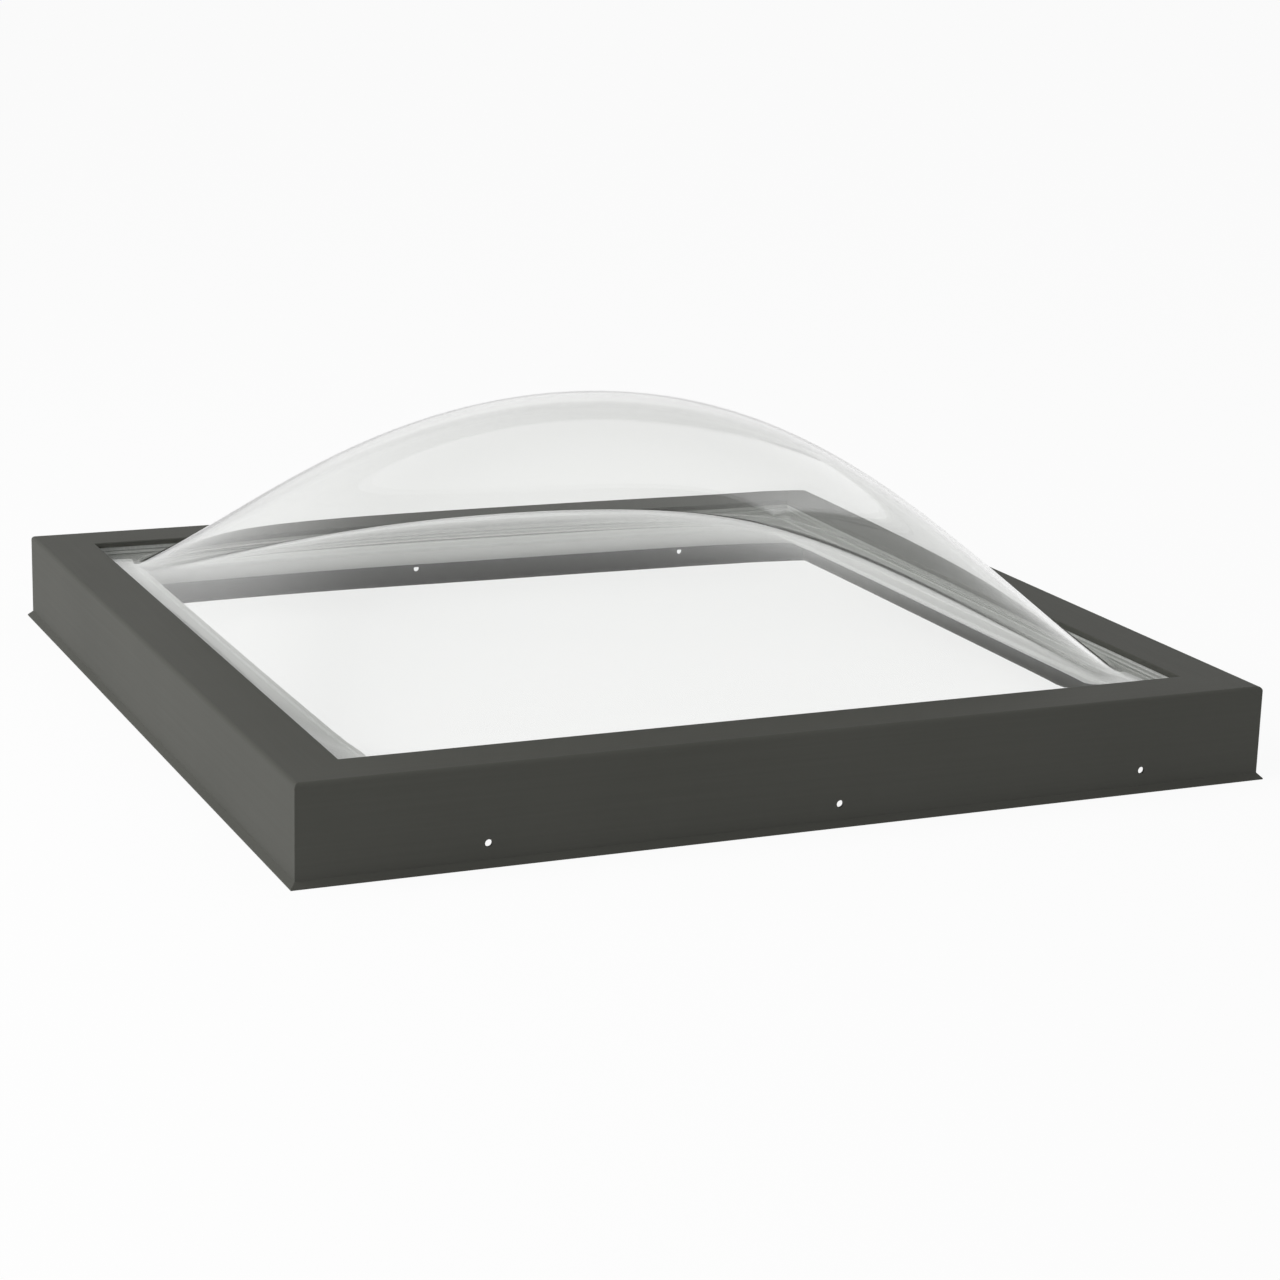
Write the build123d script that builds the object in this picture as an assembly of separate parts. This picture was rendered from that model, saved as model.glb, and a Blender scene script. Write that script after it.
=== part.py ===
"""Fixed roof skylight for a raised curb.

A square frame of four mitred metal members clamps two blown clear domes over a
hollow vinyl liner. The frame rests on its rim at Z = 0 with Z up, the domes are
centred on the Z axis, and the front member runs along -Y.

Lengths are in millimetres. The sections are drawn as (inset, height): inset is the
distance inwards from the skirt's outer face, and height is above the rim.
"""
import os
from math import sqrt

from build123d import *

# Metal frame members
frame_width = 673.0
skirt_height = 64.0
metal_wall = 2.0
flange_width = 40.0
flange_lip_drop = 4.0
top_edge_radius = 3.0
drip_lip_reach = 3.4
drip_lip_tip = 0.8
shelf_reach = 12.0

# Screw holes through the skirts of the front and back members, at their distances from mid length
hole_diameter = 4.8
hole_height = 14.7
left_hole_distance = 215.0
middle_hole_distance = 22.0
right_hole_distance = 245.0

# Corner keys and the channel that holds them inside the skirt
key_thickness = 3.0
key_height = 14.0
key_leg = 45.0
key_clearance = 0.1
hook_wall = 1.6
hook_lip = 1.5

# Clear domes, each blown from one sheet that thins towards its crown
outer_sheet = 3.0
outer_crown = 2.4
outer_rise = 158.0
outer_toe_margin = 2.5
outer_fullness_share = 0.26
inner_sheet = 2.5
inner_crown = 2.0
inner_rise = 59.3
inner_toe_margin = 14.0
inner_fullness_share = 0.42
base_level_share = 0.07
toe_radius = 5.0
sheet_clearance = 6.0

# Vinyl liner members
liner_clearance = 6.0
liner_height = 25.0
liner_wall = 2.2
ledge_width = 62.0
ledge_wall = 3.5
ledge_nose = 3.0
foot_width = 16.0
gutter_width = 16.0
gutter_depth = 1.2
gutter_rim = 3.8
nose_block = 10.0

# Gaskets and tapes, each laid in four lengths
top_gasket_width = 11.5
top_gasket_thickness = 5.0
top_gasket_clearance = 0.5
tape_margin = 4.0
tape_setback = 0.5
spacer_thickness = 1.5
bed_thickness = 1.0
curb_gasket_width = 7.0
curb_gasket_thickness = 3.0
curb_gasket_margin = 2.0

# Every cutter runs past the faces it cuts by this much
overrun = 5.0

# Heights of the glazing stack, counted down from the top of the flange
half_width = frame_width / 2
flange_underside = skirt_height - metal_wall
outer_top = flange_underside - top_gasket_thickness
outer_bottom = outer_top - outer_sheet
inner_top = outer_bottom - spacer_thickness
inner_bottom = inner_top - inner_sheet
liner_top = inner_bottom - bed_thickness
liner_bottom = liner_top - liner_height

# Insets shared by pieces that fit together
sheet_inset = metal_wall + sheet_clearance
liner_inset = metal_wall + liner_clearance
tape_inset = sheet_inset + tape_margin
tape_width = flange_width - tape_setback - tape_inset
key_slot = key_thickness + 2 * key_clearance
key_top = liner_bottom + key_height + key_clearance
hook_inset = metal_wall + key_slot

quarter_turn = 90
sides = ("front", "right", "back", "left")
drilled_sides = ("front", "back")
corners = ("front_left", "front_right", "back_right", "back_left")
section_plane = Plane(origin=(0, -half_width, 0), x_dir=(0, 1, 0), z_dir=(1, 0, 0))


def area(points):
    """Flat face of a section, from its corner points in order."""
    return make_face(Polyline(*points, close=True))


def rounded(section, corner, radius):
    """The section with the corner nearest to one point rounded off."""
    return fillet(section.vertices().sort_by_distance(corner)[0], radius)


def mitred_member(section):
    """The front member of a square frame: its section run along X, cut at 45 degrees at both ends."""
    run = extrude(section_plane * section, amount=half_width + drip_lip_reach, both=True)
    far = half_width + drip_lip_reach + overrun
    wedge = extrude(area([(0, 0), (-far, -far), (far, -far)]), amount=skirt_height + overrun)
    return run & (Pos(0, 0, -overrun / 2) * wedge)


def strip(inset, width, bottom, thickness):
    """The front length of a tape. It butts against the next length, so all four are alike."""
    start = inset - half_width
    end = half_width - inset - width
    length = end - start
    centre = Pos((start + end) / 2, start + width / 2, bottom)
    return centre * Box(length, width, thickness, align=(Align.CENTER, Align.CENTER, Align.MIN))


def frame_section():
    """Metal section: skirt, flange with its lip, drip lip, liner shelf and key channel."""
    flare = drip_lip_reach + drip_lip_tip
    inner_flare = flare - metal_wall * sqrt(2)
    lip_bottom = skirt_height - flange_lip_drop
    shelf_underside = liner_bottom - metal_wall
    hook_edge = hook_inset + hook_wall
    section = area([
        (-drip_lip_reach, 0),
        (-drip_lip_reach, drip_lip_tip),
        (0, flare),
        (0, skirt_height),
        (flange_width, skirt_height),
        (flange_width, lip_bottom),
        (flange_width - metal_wall, lip_bottom),
        (flange_width - metal_wall, flange_underside),
        (metal_wall, flange_underside),
        (metal_wall, key_top + hook_wall),
        (hook_edge, key_top + hook_wall),
        (hook_edge, key_top - hook_lip),
        (hook_inset, key_top - hook_lip),
        (hook_inset, key_top),
        (metal_wall, key_top),
        (metal_wall, liner_bottom),
        (hook_inset, liner_bottom),
        (hook_inset, liner_bottom + hook_lip),
        (hook_edge, liner_bottom + hook_lip),
        (hook_edge, liner_bottom),
        (shelf_reach, liner_bottom),
        (shelf_reach, shelf_underside),
        (metal_wall, shelf_underside),
        (metal_wall, inner_flare + metal_wall),
        (-inner_flare, 0),
    ])
    section = rounded(section, (0, skirt_height), top_edge_radius)
    section = rounded(section, (metal_wall, flange_underside), top_edge_radius - metal_wall)
    return rounded(section, (flange_width, skirt_height), metal_wall / 2)


def drilled(member):
    """The front member with its three screw holes, which lie a little off centre."""
    drill = Cylinder(hole_diameter / 2, 2 * (metal_wall + overrun), rotation=(quarter_turn, 0, 0))
    for place in (-left_hole_distance, middle_hole_distance, right_hole_distance):
        member -= Pos(place, -half_width, hole_height) * drill
    return member


def liner_section():
    """Vinyl section: a ledge with a drip gutter, a slanted inner face and two hollow chambers."""
    nose = liner_inset + ledge_width
    heel = liner_inset + foot_width
    nose_bottom = liner_top - ledge_nose
    gutter_end = nose - gutter_rim
    gutter_start = gutter_end - gutter_width
    gutter_floor = liner_top - gutter_depth
    outline = area([
        (liner_inset, liner_bottom),
        (liner_inset, liner_top),
        (gutter_start, liner_top),
        (gutter_start + gutter_depth, gutter_floor),
        (gutter_end - gutter_depth, gutter_floor),
        (gutter_end, liner_top),
        (nose, liner_top),
        (nose, nose_bottom),
        (heel, liner_bottom),
    ])
    outline = rounded(outline, (nose, liner_top), ledge_nose / 3)
    outline = rounded(outline, (nose, nose_bottom), ledge_nose / 3)

    ceiling = liner_top - ledge_wall
    floor = liner_bottom + liner_wall
    box_chamber = area([
        (liner_inset + liner_wall, floor),
        (heel - liner_wall, floor),
        (heel - liner_wall, ceiling),
        (liner_inset + liner_wall, ceiling),
    ])
    # The slanted wall keeps its thickness, measured square to its face.
    steepness = (nose_bottom - liner_bottom) / (nose - heel)
    wall_lift = liner_wall * sqrt(1 + steepness**2)
    tip = nose - nose_block
    wedge_chamber = area([
        (heel, liner_bottom + wall_lift),
        (tip, liner_bottom + wall_lift + steepness * (tip - heel)),
        (tip, ceiling),
        (heel, ceiling),
    ])
    return outline - box_chamber - wedge_chamber


def corner_key():
    """L-shaped key in the channel of the front-left corner, standing on the liner shelf."""
    edge = metal_wall + key_clearance - half_width
    end = edge + key_leg
    inside = edge + key_thickness
    outline = area([
        (edge, edge), (end, edge), (end, inside), (inside, inside), (inside, end), (edge, end),
    ])
    return Pos(0, 0, liner_bottom) * extrude(outline, amount=key_height)


def base_place_share(fullness):
    """Where a dome's curve f comes down to the base level, as a share of its patch.

    f(t) = (1 - t**2) * (1 + fullness * t**2) is a quadratic in t**2.
    """
    slack = 1 - fullness
    root = sqrt(slack**2 + 4 * fullness * (1 - base_level_share))
    return sqrt((root - slack) / (2 * fullness))


def crown(half_base, base, rise, fullness):
    """Solid under the curve of a blown dome, a square pillow that reaches below the base.

    With t from -1 to 1 across the pillow, the height over the base is
    rise * (f(tx) * f(ty) - level) / (1 - level), which a fourth-degree patch holds exactly.
    Its level line at the base is nearly straight along the sides and round at the corners.
    """
    reach = half_base / base_place_share(fullness)
    swell = rise / (1 - base_level_share)
    shares = (0, 1 + fullness, 4 * (1 - fullness) / 3, 1 + fullness, 0)
    last = len(shares) - 1
    places = [reach * (2 * step / last - 1) for step in range(len(shares))]
    points = []
    for x, x_share in zip(places, shares):
        heights = [swell * (x_share * y_share - base_level_share) for y_share in shares]
        points.append([(x, y, base + height) for y, height in zip(places, heights)])
    skin = Face.make_bezier_surface(points)
    underside = Plane.XY.offset(base - swell * base_level_share) * Rectangle(2 * reach, 2 * reach)
    return Solid(Shell([skin, underside.face()]))


def curved_edges(solid):
    """Edges that are not straight, from the lowest to the highest."""
    return solid.edges().filter_by(GeomType.LINE, reverse=True).sort_by(Axis.Z)


def dome(top, bottom, rise, crown_thickness, toe_margin, fullness):
    """A dome blown from one flat sheet: square rim, soft toe, thin crown, one open hollow below."""
    half_sheet = half_width - sheet_inset
    half_base = half_width - flange_width - toe_margin
    sheet = top - bottom
    # The hollow is set back so that the wall is as thick as the sheet where it leaves the rim.
    place = base_place_share(fullness)
    slope_share = 2 * place**2 * (1 - fullness + 2 * fullness * place**2) / (1 - base_level_share)
    steepness = slope_share * rise / half_base
    setback = sheet * (sqrt(1 + steepness**2) - 1) / steepness
    outside = crown(half_base, top, rise, fullness)
    hollow = crown(half_base - setback, bottom, top + rise - crown_thickness - bottom, fullness)
    on_floor = (Align.CENTER, Align.CENTER, Align.MIN)
    rim = Pos(0, 0, bottom) * Box(2 * half_sheet, 2 * half_sheet, sheet, align=on_floor)
    above = Pos(0, 0, bottom + sheet / 2) * Box(2 * half_sheet, 2 * half_sheet, sheet + rise, align=on_floor)
    blown = rim + (outside & above) - hollow
    blown = fillet(curved_edges(blown)[-1], toe_radius)
    return fillet(curved_edges(blown)[0], toe_radius + sheet)


os.makedirs("parts", exist_ok=True)

frame_front = mitred_member(frame_section())
liner_front = mitred_member(liner_section())
key_front_left = corner_key()

gasket_inset = flange_width - metal_wall - top_gasket_clearance - top_gasket_width
top_gasket = strip(gasket_inset, top_gasket_width, outer_top, top_gasket_thickness)
spacer = strip(tape_inset, tape_width, inner_top, spacer_thickness)
bed = strip(tape_inset, tape_width, liner_top, bed_thickness)
curb_inset = shelf_reach + curb_gasket_margin
curb_bottom = liner_bottom - curb_gasket_thickness
curb_gasket = strip(curb_inset, curb_gasket_width, curb_bottom, curb_gasket_thickness)

for turn, side in enumerate(sides):
    place = Rot(0, 0, quarter_turn * turn)
    metal = drilled(frame_front) if side in drilled_sides else frame_front
    export_step(place * metal, f"parts/frame_{side}.step")
    export_step(place * liner_front, f"parts/liner_{side}.step")
    export_step(place * top_gasket, f"parts/top_gasket_{side}.step")
    export_step(place * spacer, f"parts/spacer_tape_{side}.step")
    export_step(place * bed, f"parts/bed_tape_{side}.step")
    export_step(place * curb_gasket, f"parts/curb_gasket_{side}.step")

for turn, corner in enumerate(corners):
    export_step(Rot(0, 0, quarter_turn * turn) * key_front_left, f"parts/corner_key_{corner}.step")

outer_dome = dome(outer_top, outer_bottom, outer_rise, outer_crown, outer_toe_margin, outer_fullness_share)
inner_dome = dome(inner_top, inner_bottom, inner_rise, inner_crown, inner_toe_margin, inner_fullness_share)
export_step(outer_dome, "parts/outer_dome.step")
export_step(inner_dome, "parts/inner_dome.step")
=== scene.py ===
"""Looks of a fixed roof skylight: coated metal frame, pale vinyl liner, two blown clear domes.

Lengths are in metres and angles in degrees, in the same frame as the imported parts: Z up, rim at Z = 0,
front along -Y.
"""
import math

import bpy
import numpy as np
from mathutils import Matrix, Vector


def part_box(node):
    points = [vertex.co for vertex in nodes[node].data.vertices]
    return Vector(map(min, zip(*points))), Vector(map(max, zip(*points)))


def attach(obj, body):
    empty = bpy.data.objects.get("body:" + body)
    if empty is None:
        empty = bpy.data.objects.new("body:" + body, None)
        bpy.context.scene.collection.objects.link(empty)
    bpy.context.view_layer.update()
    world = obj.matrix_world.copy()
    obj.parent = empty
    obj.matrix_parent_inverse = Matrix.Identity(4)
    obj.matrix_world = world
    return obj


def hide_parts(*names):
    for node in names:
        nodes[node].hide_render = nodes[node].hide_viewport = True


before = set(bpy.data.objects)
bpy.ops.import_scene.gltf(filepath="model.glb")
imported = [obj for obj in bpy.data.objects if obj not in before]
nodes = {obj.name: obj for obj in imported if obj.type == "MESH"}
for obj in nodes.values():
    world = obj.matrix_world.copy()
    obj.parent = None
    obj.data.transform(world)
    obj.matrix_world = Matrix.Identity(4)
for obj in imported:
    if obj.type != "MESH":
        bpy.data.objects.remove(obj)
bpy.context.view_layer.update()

SIDES = ("front", "right", "back", "left")
CORNERS = ("front_left", "front_right", "back_right", "back_left")

# Blown domes: half width of the base, fullness of the curve, thickness of the sheet and of the crown.
# Their rims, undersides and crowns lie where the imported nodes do.
OUTER_BASE = 0.294
OUTER_FULLNESS = 0.26
OUTER_SHEET = 0.0030
OUTER_CROWN = 0.0024
INNER_BASE = 0.2825
INNER_FULLNESS = 0.42
INNER_SHEET = 0.0025
INNER_CROWN = 0.0020
BASE_LEVEL = 0.07
TOE_RADIUS = 0.005
GRID_STEPS = 170
GRID_CROWDING = 0.7
SHARP_ANGLE = 50

# Finishes: the darker and lighter tone of each, then roughness and gloss
METAL_TONES = ((0.079, 0.080, 0.070), (0.092, 0.093, 0.082))
METAL_ROUGHNESS = (0.52, 0.66)
METAL_SPECULAR = 0.15
DRAW_LINE_SHARE = 0.4
CLOUD_SHARE = 0.6
VINYL_TONES = ((0.67, 0.678, 0.660), (0.73, 0.738, 0.720))
VINYL_ROUGHNESS = (0.38, 0.52)
KEY_TONES = ((0.62, 0.63, 0.64), (0.74, 0.75, 0.76))
KEY_ROUGHNESS = (0.32, 0.48)
GASKET_COLOUR = (0.74, 0.75, 0.73)
GASKET_ROUGHNESS = 0.7
TAPE_COLOUR = (0.76, 0.77, 0.75)
TAPE_ROUGHNESS = 0.8
FOAM_COLOUR = (0.07, 0.07, 0.07)
FOAM_ROUGHNESS = 0.95
STRIP_DARKER = 0.8
OUTER_TINT = (0.955, 0.959, 0.951)
OUTER_INDEX = 1.30
INNER_TINT = (0.990, 0.992, 0.991)
INNER_INDEX = 1.10

# Patterns: scale and detail of each noise. A higher stretch makes it finer along that axis. A tone runs
# from dark to light over the middle of a noise's values.
DRAW_LINES = (4.0, 3.0)
METAL_CLOUD = (7.0, 3.0)
METAL_PEEL = (1100.0, 2.0)
VINYL_CLOUD = (9.0, 4.0)
VINYL_GRAIN = (900.0, 2.0)
SHEET_WAVES = (9.0, 2.0)
STRIP_GRAIN = (600.0, 3.0)
KEY_LINES = (12.0, 3.0)
NOISE_ROUGHNESS = 0.55
NOISE_MIDDLE = (0.30, 0.70)
VINYL_MIDDLE = (0.25, 0.75)
EVEN_STRETCH = (1, 1, 1)
KEY_STRETCH = (1, 1, 60)
ACROSS_STRETCH = 90.0
ALONG_STRETCH = 1.5

# Relief: strength and depth of each
METAL_RELIEF = (0.12, 0.0002)
VINYL_RELIEF = (0.08, 0.0002)
SHEET_RELIEF = (0.02, 0.002)
STRIP_RELIEF = (0.3, 0.0004)

# Camera, fitted to the frame's corners and the dome's outline in the photograph
CAMERA_PLACE = (-0.85077, -1.97082, 0.60544)
CAMERA_AZIMUTH = -24.106
CAMERA_ELEVATION = 14.778
CAMERA_ROLL = 1.6265
CAMERA_LENS = 86.442
SENSOR_WIDTH = 36.0

# Floor and light. FLOOR_SHARE of the floor's look is plain white, and the rest takes shadows.
FLOOR_HALF_WIDTH = 12.0
FLOOR_COLOUR = (0.92, 0.92, 0.92, 1)
FLOOR_SHARE = 0.93
WHITE = (1, 1, 1, 1)
SKY_LEVEL = 0.41
BACKDROP_LOW = 0.12
BACKDROP_HIGH = 0.65
KEY_PLACE = (-2.1, -0.2, 1.6)
KEY_AIM = (0, 0, 0.05)
KEY_SIZE = 1.6
KEY_POWER = 39.0


# Meshes

def mesh_piece(name, points, quads):
    """A new mesh object at the origin, from an array of points and an array of quads."""
    mesh = bpy.data.meshes.new(name)
    mesh.vertices.add(len(points))
    mesh.vertices.foreach_set("co", points.astype(np.float32).ravel())
    mesh.loops.add(quads.size)
    mesh.loops.foreach_set("vertex_index", quads.astype(np.int32).ravel())
    mesh.polygons.add(len(quads))
    mesh.polygons.foreach_set("loop_start", np.arange(0, quads.size, 4, dtype=np.int32))
    mesh.update(calc_edges=True)
    mesh.validate()
    mesh.polygons.foreach_set("use_smooth", np.ones(len(quads), dtype=bool))
    mesh.set_sharp_from_angle(angle=math.radians(SHARP_ANGLE))
    piece = bpy.data.objects.new(name, mesh)
    bpy.context.scene.collection.objects.link(piece)
    return piece


def grid_quads(rows, columns):
    """Quads of a grid of points, counted row by row, facing up when X runs along the columns."""
    index = np.arange(rows * columns).reshape(rows, columns)
    corners = [index[:-1, :-1], index[:-1, 1:], index[1:, 1:], index[1:, :-1]]
    return np.stack(corners, -1).reshape(-1, 4)


def pillow(x, y, base, fullness, rise, soft):
    """Height of a blown sheet over its flat rim, and the slope at which it leaves the rim.

    With t running from -1 to 1 across the pillow, f(t) = (1 - t**2) * (1 + fullness * t**2), and the
    height is rise * (f(tx) * f(ty) - level) / (1 - level), so the base is round at its corners. Where
    that is negative the sheet stays flat: (h + sqrt(h**2 + soft**2)) / 2 turns the crease between the
    two into a soft toe.
    """
    spare = 1 - fullness
    root = math.sqrt(spare**2 + 4 * fullness * (1 - BASE_LEVEL))
    place = math.sqrt((root - spare) / (2 * fullness))
    tx, ty = (np.minimum(np.abs(c) * place / base, 1) for c in (x, y))
    share = (1 - tx**2) * (1 + fullness * tx**2) * (1 - ty**2) * (1 + fullness * ty**2)
    height = rise * (share - BASE_LEVEL) / (1 - BASE_LEVEL)
    steepness = 2 * place**2 * (spare + 2 * fullness * place**2) / (1 - BASE_LEVEL) * rise / base
    softened = (height + np.sqrt(height**2 + soft**2)) / 2
    return softened * 2 * rise / (rise + math.sqrt(rise**2 + soft**2)), steepness


def toe_softness(radius, steepness):
    """Softness that lifts a crease as far as a round of this radius does."""
    half = math.atan(steepness) / 2
    return 2 * radius * (1 / math.cos(half) - 1) / math.cos(half)


def dome_shell(name, node, base, fullness, sheet, crown):
    """A clear dome blown from one sheet: a pillow over the rim, and a hollow pillow below it.

    The hollow is set back so that the wall keeps the sheet's thickness where it leaves the rim. The
    grid's lines lie at a mix of sin(pi * t / 2) and t, closer together towards the rim.
    """
    low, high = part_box(node)
    rim_top = low.z + sheet
    lines = GRID_STEPS + 1
    even = np.linspace(-1, 1, lines)
    spread = high.x * (GRID_CROWDING * np.sin(even * math.pi / 2) + (1 - GRID_CROWDING) * even)
    x, y = np.meshgrid(spread, spread)
    steepness = pillow(x, y, base, fullness, high.z - rim_top, 0.0)[1]
    setback = sheet * (math.sqrt(1 + steepness**2) - 1) / steepness
    soft = toe_softness(TOE_RADIUS, steepness)
    soft_under = toe_softness(TOE_RADIUS + sheet, steepness)
    top = rim_top + pillow(x, y, base, fullness, high.z - rim_top, soft)[0]
    under_rise = high.z - crown - low.z
    under = low.z + pillow(x, y, base - setback, fullness, under_rise, soft_under)[0]
    points = np.concatenate([np.stack([x, y, z], -1).reshape(-1, 3) for z in (top, under)])
    count = x.size
    face = grid_quads(lines, lines)
    index = np.arange(count).reshape(lines, lines)
    loop = np.concatenate([index[0, :-1], index[:-1, -1], index[-1, :0:-1], index[:0:-1, 0]])
    following = np.roll(loop, -1)
    rim = np.stack([loop + count, following + count, following, loop], -1)
    piece = mesh_piece(name, points, np.concatenate([face, face[:, ::-1] + count, rim]))
    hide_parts(node)
    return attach(piece, "root")


# Materials

def new_material(name):
    """A new node material, with its node tree and its Principled shader."""
    material = bpy.data.materials.new(name)
    material.use_nodes = True
    tree = material.node_tree
    return material, tree, tree.nodes["Principled BSDF"]


def node(tree, kind, **settings):
    """A new shader node with its properties and input values set by name."""
    made = tree.nodes.new(kind)
    for key, value in settings.items():
        if hasattr(made, key):
            setattr(made, key, value)
        else:
            made.inputs[key.replace("_", " ")].default_value = value
    return made


def pattern(tree, noise, stretch=EVEN_STRETCH):
    """The value of a noise of one scale and detail over Object coordinates, stretched three ways."""
    scale, detail = noise
    coordinate = node(tree, "ShaderNodeTexCoord")
    mapping = node(tree, "ShaderNodeMapping")
    mapping.inputs["Scale"].default_value = stretch
    texture = node(tree, "ShaderNodeTexNoise", Scale=scale, Detail=detail, Roughness=NOISE_ROUGHNESS)
    tree.links.new(coordinate.outputs["Object"], mapping.inputs["Vector"])
    tree.links.new(mapping.outputs["Vector"], texture.inputs["Vector"])
    return texture.outputs["Fac"]


def toned(tree, value, middle, tones):
    """A colour that goes from one tone to another as a value goes through its middle."""
    made = node(tree, "ShaderNodeValToRGB")
    for element, place, tone in zip(made.color_ramp.elements, middle, tones):
        element.position = place
        element.color = (*tone, 1.0)
    tree.links.new(value, made.inputs["Fac"])
    return made.outputs["Color"]


def span(tree, value, low, high):
    """A value from 0..1 mapped to low..high."""
    made = node(tree, "ShaderNodeMapRange", To_Min=low, To_Max=high)
    tree.links.new(value, made.inputs["Value"])
    return made.outputs["Result"]


def relief(tree, shader, value, strength, depth):
    """Fine relief on a shader from one value."""
    made = node(tree, "ShaderNodeBump", Strength=strength, Distance=depth)
    tree.links.new(value, made.inputs["Height"])
    tree.links.new(made.outputs["Normal"], shader.inputs["Normal"])


def combined(tree, operation, first, second):
    """Two values combined by one operation."""
    made = node(tree, "ShaderNodeMath", operation=operation)
    tree.links.new(first, made.inputs[0])
    tree.links.new(second, made.inputs[1])
    return made.outputs["Value"]


def mixed(tree, share, first, second):
    """A shader that goes from the first to the second as the share goes from 0 to 1."""
    made = node(tree, "ShaderNodeMixShader")
    tree.links.new(share, made.inputs["Fac"])
    tree.links.new(first, made.inputs[1])
    tree.links.new(second, made.inputs[2])
    return made.outputs["Shader"]


def coated_metal(name, along):
    """Satin dark bronze coating on an extrusion, with faint draw lines along its run and a fine peel."""
    material, tree, shader = new_material(name)
    stretch = [ALONG_STRETCH if axis == along else ACROSS_STRETCH for axis in "xyz"]
    lines = pattern(tree, DRAW_LINES, stretch)
    cloud = pattern(tree, METAL_CLOUD)
    tone = node(tree, "ShaderNodeMath", operation="MULTIPLY_ADD")
    tone.inputs[1].default_value = DRAW_LINE_SHARE
    tree.links.new(lines, tone.inputs[0])
    tree.links.new(span(tree, cloud, 0.0, CLOUD_SHARE), tone.inputs[2])
    colour = toned(tree, tone.outputs["Value"], NOISE_MIDDLE, METAL_TONES)
    tree.links.new(colour, shader.inputs["Base Color"])
    tree.links.new(span(tree, lines, *METAL_ROUGHNESS), shader.inputs["Roughness"])
    shader.inputs["Specular IOR Level"].default_value = METAL_SPECULAR
    relief(tree, shader, pattern(tree, METAL_PEEL), *METAL_RELIEF)
    return material


def pale_vinyl(name):
    """Satin pale grey vinyl, slightly uneven in tone."""
    material, tree, shader = new_material(name)
    grain = pattern(tree, VINYL_GRAIN)
    colour = toned(tree, pattern(tree, VINYL_CLOUD), VINYL_MIDDLE, VINYL_TONES)
    tree.links.new(colour, shader.inputs["Base Color"])
    tree.links.new(span(tree, grain, *VINYL_ROUGHNESS), shader.inputs["Roughness"])
    relief(tree, shader, grain, *VINYL_RELIEF)
    return material


def clear_acrylic(name, tint, index):
    """Clear polished acrylic with the faint waves of a blown sheet.

    Light from lamps and sky passes straight through it, so what it covers is lit. Each face takes the
    root of the tint, so that a sheet takes all of it.
    """
    material, tree, shader = new_material(name)
    shader.inputs["Base Color"].default_value = (*tint, 1)
    shader.inputs["Transmission Weight"].default_value = 1.0
    shader.inputs["IOR"].default_value = index
    shader.inputs["Roughness"].default_value = 0.0
    relief(tree, shader, pattern(tree, SHEET_WAVES), *SHEET_RELIEF)
    path = node(tree, "ShaderNodeLightPath")
    clear = node(tree, "ShaderNodeBsdfTransparent")
    clear.inputs["Color"].default_value = (*(math.sqrt(c) for c in tint), 1)
    surface = shader.outputs["BSDF"]
    for ray in ("Is Diffuse Ray", "Is Shadow Ray"):
        surface = mixed(tree, path.outputs[ray], surface, clear.outputs["BSDF"])
    tree.links.new(surface, tree.nodes["Material Output"].inputs["Surface"])
    return material


def soft_strip(name, colour, roughness):
    """Matte rubber, tape or foam with a fine uneven surface."""
    material, tree, shader = new_material(name)
    grain = pattern(tree, STRIP_GRAIN)
    darker = tuple(STRIP_DARKER * c for c in colour)
    tones = toned(tree, grain, NOISE_MIDDLE, (darker, colour))
    tree.links.new(tones, shader.inputs["Base Color"])
    shader.inputs["Roughness"].default_value = roughness
    relief(tree, shader, grain, *STRIP_RELIEF)
    return material


def mill_metal(name):
    """Bare extruded aluminium of the corner keys."""
    material, tree, shader = new_material(name)
    lines = pattern(tree, KEY_LINES, KEY_STRETCH)
    colour = toned(tree, lines, NOISE_MIDDLE, KEY_TONES)
    tree.links.new(colour, shader.inputs["Base Color"])
    shader.inputs["Metallic"].default_value = 1.0
    tree.links.new(span(tree, lines, *KEY_ROUGHNESS), shader.inputs["Roughness"])
    return material


def dress(piece, material):
    """Gives a piece one material."""
    piece.data.materials.clear()
    piece.data.materials.append(material)


metal_x = coated_metal("coated_metal_x", "x")
metal_y = coated_metal("coated_metal_y", "y")
vinyl = pale_vinyl("pale_vinyl")
outer_acrylic = clear_acrylic("clear_acrylic_outer", OUTER_TINT, OUTER_INDEX)
inner_acrylic = clear_acrylic("clear_acrylic_inner", INNER_TINT, INNER_INDEX)
rubber = soft_strip("gasket_rubber", GASKET_COLOUR, GASKET_ROUGHNESS)
tape = soft_strip("glazing_tape", TAPE_COLOUR, TAPE_ROUGHNESS)
foam = soft_strip("curb_foam", FOAM_COLOUR, FOAM_ROUGHNESS)
keys = mill_metal("key_metal")

for side in SIDES:
    dress(nodes[f"frame_{side}"], metal_x if side in ("front", "back") else metal_y)
    dress(nodes[f"liner_{side}"], vinyl)
    dress(nodes[f"top_gasket_{side}"], rubber)
    dress(nodes[f"spacer_tape_{side}"], tape)
    dress(nodes[f"bed_tape_{side}"], tape)
    dress(nodes[f"curb_gasket_{side}"], foam)
for corner in CORNERS:
    dress(nodes[f"corner_key_{corner}"], keys)

outer_shell = dome_shell(
    "outer_dome_shell", "outer_dome", OUTER_BASE, OUTER_FULLNESS, OUTER_SHEET, OUTER_CROWN)
dress(outer_shell, outer_acrylic)
inner_shell = dome_shell(
    "inner_dome_shell", "inner_dome", INNER_BASE, INNER_FULLNESS, INNER_SHEET, INNER_CROWN)
dress(inner_shell, inner_acrylic)


# Stage, light and camera

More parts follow.
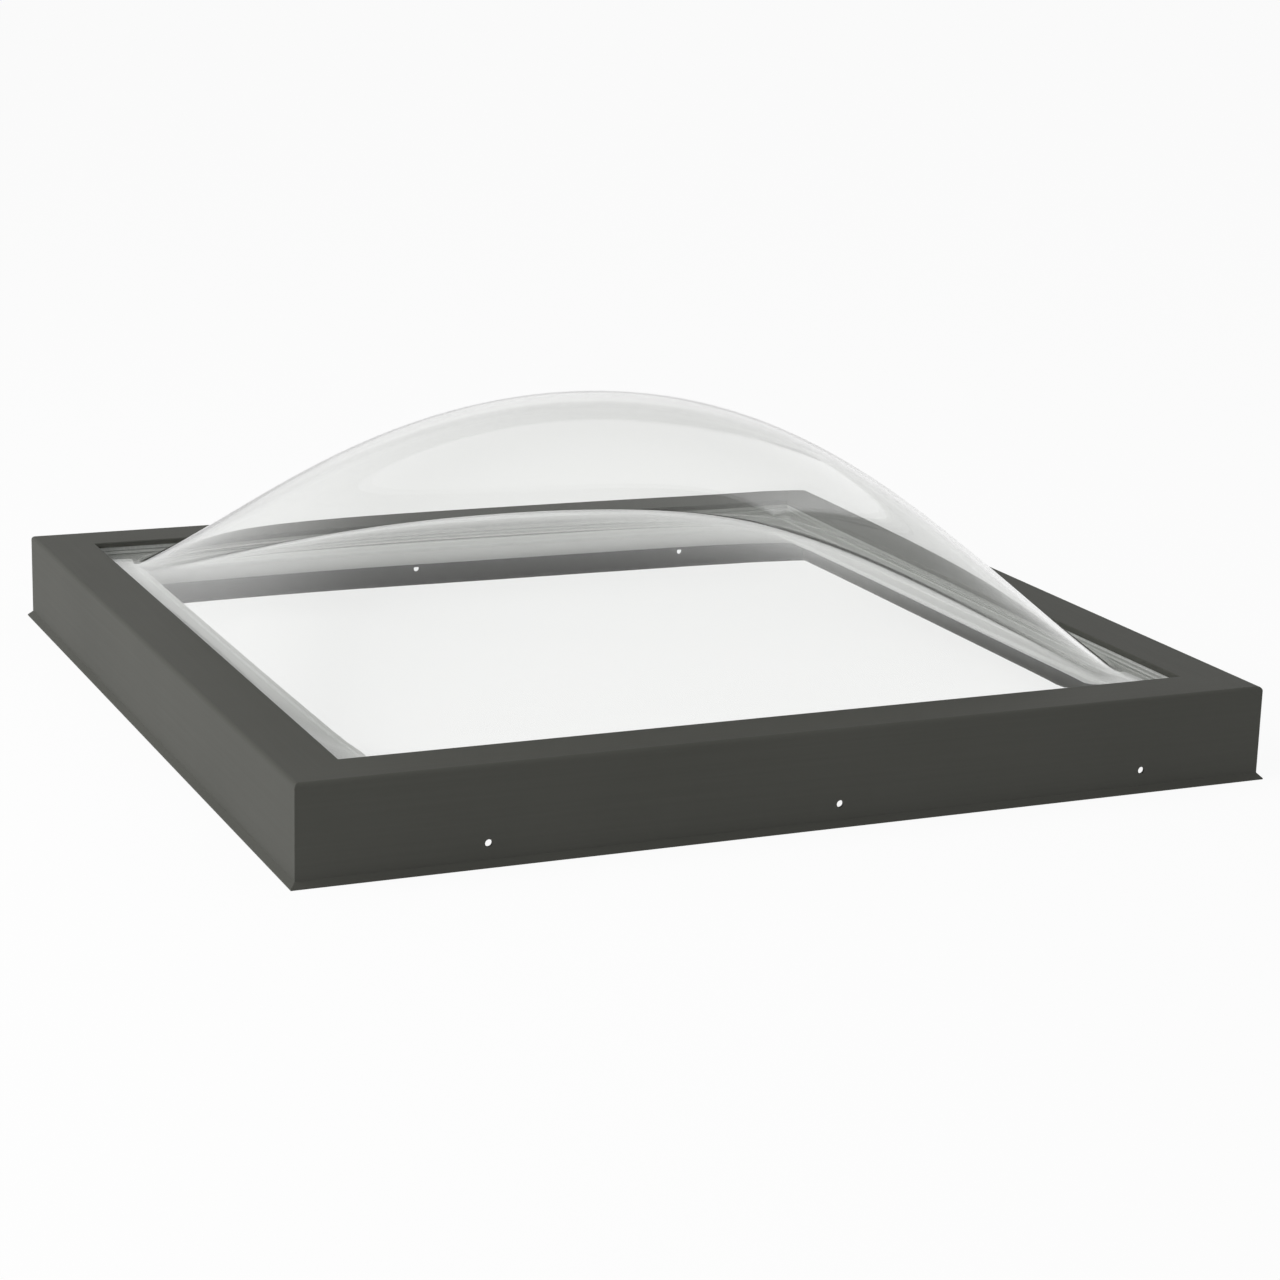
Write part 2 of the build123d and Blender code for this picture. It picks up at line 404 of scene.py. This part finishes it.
def white_floor():
    """A flat floor, white where it is seen and a little darker where the object shades it."""
    far = FLOOR_HALF_WIDTH
    points = np.array([[-far, -far, 0], [far, -far, 0], [far, far, 0], [-far, far, 0]])
    floor = mesh_piece("floor", points, np.array([[0, 1, 2, 3]]))
    material, tree, shader = new_material("white_floor")
    shader.inputs["Base Color"].default_value = FLOOR_COLOUR
    shader.inputs["Roughness"].default_value = 1.0
    shader.inputs["Specular IOR Level"].default_value = 0.0
    ray = node(tree, "ShaderNodeLightPath").outputs
    direct = combined(tree, "MAXIMUM", ray["Is Camera Ray"], ray["Is Glossy Ray"])
    seen = combined(tree, "MAXIMUM", direct, ray["Is Transmission Ray"])
    glow = node(tree, "ShaderNodeEmission")
    share = span(tree, seen, 0.0, FLOOR_SHARE)
    surface = mixed(tree, share, shader.outputs["BSDF"], glow.outputs["Emission"])
    tree.links.new(surface, tree.nodes["Material Output"].inputs["Surface"])
    dress(floor, material)


def white_sky():
    """A world that is white where it is seen, with a plain even light behind it.

    Polished and clear surfaces show a white backdrop near the horizon and the dimmer light overhead: the
    share falls from 1 to 0 as the height of the ray's direction goes from BACKDROP_LOW to BACKDROP_HIGH.
    """
    world = bpy.data.worlds.new("studio")
    bpy.context.scene.world = world
    world.use_nodes = True
    tree = world.node_tree
    lit = tree.nodes["Background"]
    lit.inputs["Strength"].default_value = SKY_LEVEL
    lit.inputs["Color"].default_value = WHITE
    shown = node(tree, "ShaderNodeBackground", Color=WHITE, Strength=1.0)
    direction = node(tree, "ShaderNodeSeparateXYZ")
    tree.links.new(node(tree, "ShaderNodeTexCoord").outputs["Generated"], direction.inputs["Vector"])
    backdrop = node(tree, "ShaderNodeMapRange", interpolation_type="SMOOTHSTEP",
                    From_Min=BACKDROP_LOW, From_Max=BACKDROP_HIGH, To_Min=1.0, To_Max=0.0)
    tree.links.new(direction.outputs["Z"], backdrop.inputs["Value"])
    ray = node(tree, "ShaderNodeLightPath").outputs
    polished = combined(tree, "MAXIMUM", ray["Is Glossy Ray"], ray["Is Transmission Ray"])
    faded = combined(tree, "MULTIPLY", polished, backdrop.outputs["Result"])
    seen = combined(tree, "MAXIMUM", ray["Is Camera Ray"], faded)
    surface = mixed(tree, seen, lit.outputs["Background"], shown.outputs["Background"])
    tree.links.new(surface, tree.nodes["World Output"].inputs["Surface"])


def soft_lamp(name, place, aim, size, power):
    """A large square lamp, turned from its place towards an aim.

    Polished and clear surfaces don't show it.
    """
    lamp = bpy.data.lights.new(name, "AREA")
    lamp.size = size
    lamp.energy = power
    holder = bpy.data.objects.new(name, lamp)
    holder.location = place
    holder.rotation_euler = (Vector(aim) - Vector(place)).to_track_quat("-Z", "Y").to_euler()
    holder.visible_glossy = False
    holder.visible_transmission = False
    bpy.context.scene.collection.objects.link(holder)


def camera():
    """The camera at its fitted place: azimuth and elevation turn it, then roll turns the picture."""
    lens = bpy.data.cameras.new("camera")
    lens.lens = CAMERA_LENS
    lens.sensor_width = SENSOR_WIDTH
    eye = bpy.data.objects.new("camera", lens)
    azimuth, elevation, roll = (math.radians(a) for a in (CAMERA_AZIMUTH, CAMERA_ELEVATION, CAMERA_ROLL))
    level = math.cos(elevation)
    back = Vector((math.sin(azimuth) * level, -math.cos(azimuth) * level, math.sin(elevation)))
    right = (-back).cross(Vector((0, 0, 1))).normalized()
    up = right.cross(-back)
    turned_right = math.cos(roll) * right + math.sin(roll) * up
    turned_up = math.cos(roll) * up - math.sin(roll) * right
    turn = Matrix((turned_right, turned_up, back)).transposed()
    eye.matrix_world = Matrix.Translation(CAMERA_PLACE) @ turn.to_4x4()
    bpy.context.scene.collection.objects.link(eye)
    bpy.context.scene.camera = eye


white_floor()
white_sky()
soft_lamp("key", KEY_PLACE, KEY_AIM, KEY_SIZE, KEY_POWER)
camera()
bpy.context.scene.view_settings.view_transform = "Standard"
